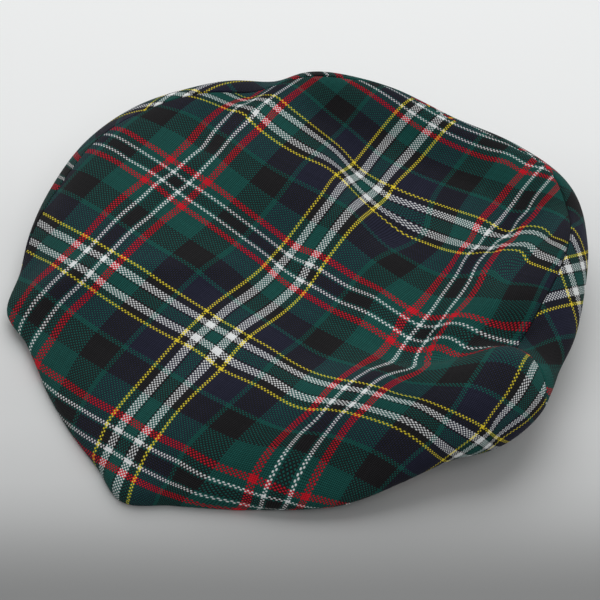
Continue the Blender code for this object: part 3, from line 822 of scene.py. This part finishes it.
class Wire:  # one socket's value, with the sums that are done on it
    def __init__(self, board, socket):
        self.board = board
        self.socket = socket

    def maths(self, operation, *others):
        return self.board.node("ShaderNodeMath", {"operation": operation}, [self, *others])

    def swapped(self, operation, other):
        return self.board.node("ShaderNodeMath", {"operation": operation}, [other, self])

    def __add__(self, other):
        return self.maths("ADD", other)

    def __radd__(self, other):
        return self.swapped("ADD", other)

    def __sub__(self, other):
        return self.maths("SUBTRACT", other)

    def __rsub__(self, other):
        return self.swapped("SUBTRACT", other)

    def __mul__(self, other):
        return self.maths("MULTIPLY", other)

    def __rmul__(self, other):
        return self.swapped("MULTIPLY", other)

    def __truediv__(self, other):
        return self.maths("DIVIDE", other)

    def __mod__(self, other):
        return self.maths("FLOORED_MODULO", other)

    def __lt__(self, other):
        return self.maths("LESS_THAN", other)

    def __abs__(self):
        return self.maths("ABSOLUTE")

    def floor(self):
        return self.maths("FLOOR")


class Board:  # a material's nodes
    def __init__(self, name):
        self.material = bpy.data.materials.new(name)
        self.material.use_nodes = True
        self.tree = self.material.node_tree
        self.shader = self.tree.nodes["Principled BSDF"]

    def node(self, kind, settings=None, inputs=(), output=0):
        made = self.tree.nodes.new(kind)
        for key, value in (settings or {}).items():
            if key in ("stops", "smoothStops"):
                self.setStops(made.color_ramp, value, "CONSTANT" if key == "stops" else "B_SPLINE")
            else:
                setattr(made, key, value)
        pairs = inputs.items() if isinstance(inputs, dict) else enumerate(inputs)
        for key, value in pairs:
            self.feed(made.inputs[key], value)
        return Wire(self, made.outputs[output])

    def setStops(self, ramp, stops, interpolation):
        ramp.interpolation = interpolation
        while len(ramp.elements) > 1:
            ramp.elements.remove(ramp.elements[-1])
        ramp.elements[0].position = stops[0][0]
        ramp.elements[0].color = (*stops[0][1], 1.0)
        for place, colour in stops[1:]:
            ramp.elements.new(place).color = (*colour, 1.0)

    def feed(self, socket, value):
        if isinstance(value, Wire):
            self.tree.links.new(value.socket, socket)
        else:
            socket.default_value = value

    def split(self, wire):
        made = self.tree.nodes.new("ShaderNodeSeparateXYZ")
        self.feed(made.inputs[0], wire)
        return [Wire(self, output) for output in made.outputs]

    def mix(self, share, first, second):
        return self.node("ShaderNodeMix", {"data_type": "RGBA"},
                         {0: share, 6: first, 7: second}, output=2)


def stripeStops():
    stops = []
    start = 0.0
    for colour, end in tartan["stripes"]:
        stops.append((start, tartan["colours"][colour]))
        start = end
    return stops


def tartanCloth(name):
    board = Board(name)
    u, v, _ = board.split(board.node("ShaderNodeUVMap", {"uv_map": "cloth"}))
    count = tartan["threads"]
    warpPlace = u * count
    weftPlace = v * count
    warpThread = warpPlace.floor()
    weftThread = weftPlace.floor()
    warpColour = threadColour(board, warpThread, tartan["warpSeed"])
    weftColour = threadColour(board, weftThread, tartan["weftSeed"])
    weftOver = (warpThread + weftThread) % 2 < 1
    colour = board.mix(weftOver, warpColour, weftColour)
    under = board.mix(weftOver, weftColour, warpColour)

    acrossWarp = abs(warpPlace - warpThread - 0.5) * 2
    acrossWeft = abs(weftPlace - weftThread - 0.5) * 2
    over, ends = tartan["roundAcross"], tartan["roundAlong"]
    weftHeight = 1 - acrossWeft * acrossWeft * over - acrossWarp * acrossWarp * ends
    warpHeight = 1 - acrossWarp * acrossWarp * over - acrossWeft * acrossWeft * ends
    height = weftOver * weftHeight + (1 - weftOver) * warpHeight
    # where threads meet, the top colour is multiplied by the under thread's: partly the under thread
    # showing, partly painted shade in the gaps
    underAndGapShade = ((1 - height) * tartan["meeting"]).maths("MINIMUM", 1.0)
    # painted shade: each thread darkened towards its sides, where shade falls in the creases between
    # threads
    creaseShadeAndTone = 1 - (1 - height) * tartan["creaseShade"]
    fuzz = clothNoise(board, "fuzz")
    worn = clothNoise(board, "worn")
    # the painted crease shade times the random tone of the fibres and of the cloth
    creaseShadeAndTone = creaseShadeAndTone * aroundOne(fuzz, tartan["fuzz"][2]) * aroundOne(worn, tartan["worn"][2])
    colour = board.node("ShaderNodeVectorMath", {"operation": "SCALE"}, {0: colour, 3: creaseShadeAndTone})
    edge = board.mix(underAndGapShade, (1.0, 1.0, 1.0, 1.0), under)
    colour = board.node("ShaderNodeVectorMath", {"operation": "MULTIPLY"}, [colour, edge])
    bump = board.node("ShaderNodeBump", None, {"Strength": 1.0, "Distance": tartan["depth"],
                                              "Height": height + fuzz * tartan["fuzzRelief"]})
    board.feed(board.shader.inputs["Base Color"], colour)
    board.feed(board.shader.inputs["Normal"], bump)
    board.shader.inputs["Roughness"].default_value = tartan["roughness"]
    board.shader.inputs["Specular IOR Level"].default_value = tartan["specular"]
    board.shader.inputs["Sheen Weight"].default_value = tartan["sheen"]
    board.shader.inputs["Sheen Roughness"].default_value = tartan["sheenRoughness"]
    return board.material


def clothNoise(board, name):
    scale, detail, _ = tartan[name]
    place = board.node("ShaderNodeTexCoord", output=3)
    return board.node("ShaderNodeTexNoise", {"noise_dimensions": "3D"},
                      {"Vector": place, "Scale": scale, "Detail": detail})


def aroundOne(wire, spread):  # a noise from 0 to 1, spread evenly round 1
    return (1 - spread / 2) + wire * spread


def threadColour(board, thread, seed):
    place = 1 - ((thread + 0.5) / tartan["threads"]).maths("PINGPONG", 1.0)
    plain = board.node("ShaderNodeValToRGB", {"stops": stripeStops()}, [place])
    own = board.node("ShaderNodeTexWhiteNoise", {"noise_dimensions": "1D"}, {"W": thread + seed})
    return board.node("ShaderNodeVectorMath", {"operation": "SCALE"},
                      {0: plain, 3: aroundOne(own, tartan["threadSpread"])})


def wear(piece, material):
    piece.data.materials.clear()
    piece.data.materials.append(material)


# The pale table with painted shade towards the viewer, the light and the camera
studio = {
    "floorSize": 3.0,
    "floorColour": (0.985, 1.0, 1.0),
    "floorRoughness": 0.7,
    # metres towards the viewer, and how pale the table is painted there: painted shade, darker towards the
    # viewer where the light falls off, darkest in a band past the cap's front and pale again further on
    "fade": ((-0.13, 1.0), (-0.04, 0.83), (0.07, 0.72), (0.103, 0.63), (0.121, 0.53),
             (0.137, 0.39), (0.153, 0.29), (0.170, 0.23), (0.24, 0.46), (0.36, 0.72)),
    "paintedShadeReach": 0.40,
    "worldColour": (1.0, 1.0, 1.0),
    "worldStrength": 0.34,
    # each light's place, size and power
    "lights": {
        "softBack": ((-0.70, 0.85, 1.70), 2.2, 24.0),
        "softFront": ((1.0, -0.25, 1.3), 0.9, 3.0),
    },
}


def makeFloor():
    bpy.ops.object.select_all(action="DESELECT")
    bpy.ops.mesh.primitive_plane_add(size=studio["floorSize"])
    floor = bpy.context.object
    floor.name = "table"
    board = Board("table")
    spot = board.split(board.node("ShaderNodeTexCoord", output=3))
    azimuth = math.radians(viewpoint["azimuth"])
    nearer = spot[0] * math.sin(azimuth) - spot[1] * math.cos(azimuth)
    reach = studio["paintedShadeReach"]
    share = (nearer + reach) / (2 * reach)
    # the table's colour carries painted shade, darker towards the viewer; its own colour is the plain
    # floorColour
    stops = [((place + reach) / (2 * reach), [value * part for part in studio["floorColour"]])
             for place, value in studio["fade"]]
    colour = board.node("ShaderNodeValToRGB", {"smoothStops": stops}, [share])
    board.feed(board.shader.inputs["Base Color"], colour)
    board.shader.inputs["Roughness"].default_value = studio["floorRoughness"]
    wear(floor, board.material)


def addLight(name, place, size, power):  # a soft disc that faces the origin
    light = bpy.data.lights.new(name, "AREA")
    light.shape = "DISK"
    light.size = size
    light.energy = power
    item = bpy.data.objects.new(name, light)
    bpy.context.scene.collection.objects.link(item)
    item.location = place
    item.rotation_euler = (-Vector(place)).to_track_quat("-Z", "Y").to_euler()


def makeStudio():
    world = bpy.context.scene.world or bpy.data.worlds.new("studio")
    bpy.context.scene.world = world
    world.use_nodes = True
    sky = world.node_tree.nodes["Background"]
    sky.inputs["Color"].default_value = (*studio["worldColour"], 1.0)
    sky.inputs["Strength"].default_value = studio["worldStrength"]
    bpy.context.scene.view_settings.view_transform = "Standard"
    for name, (place, size, power) in studio["lights"].items():
        addLight(name, place, size, power)


def makeCamera():
    back, right, up = cameraAxes()
    lens = bpy.data.cameras.new("view")
    lens.lens = viewpoint["lens"]
    lens.sensor_width = viewpoint["sensor"]
    lens.clip_start = viewpoint["clipStart"]
    item = bpy.data.objects.new("view", lens)
    bpy.context.scene.collection.objects.link(item)
    item.matrix_world = Matrix((
        (right.x, up.x, back.x, 0), (right.y, up.y, back.y, 0), (right.z, up.z, back.z, 0), (0, 0, 0, 1)))
    item.location = Vector(viewpoint["target"]) + back * viewpoint["distance"]
    bpy.context.scene.camera = item


print("camera, table and lights")
makeCamera()
makeFloor()
makeStudio()
print("cloth")
cloth = tartanCloth("tartanTwill")
crownPiece = makeCrown()
wear(crownPiece, cloth)
rightSide = makeSide("sideClothRight", "side_panel_right", capForm["peakRight"], capForm["centreBack"],
                     sidePanel["rightCrossings"])
wear(rightSide, cloth)
leftSide = makeSide("sideClothLeft", "side_panel_left", capForm["centreBack"], capForm["peakLeft"] + 360.0,
                    sidePanel["leftCrossings"])
wear(leftSide, cloth)
peakPiece = makePeak()
wear(peakPiece, cloth)
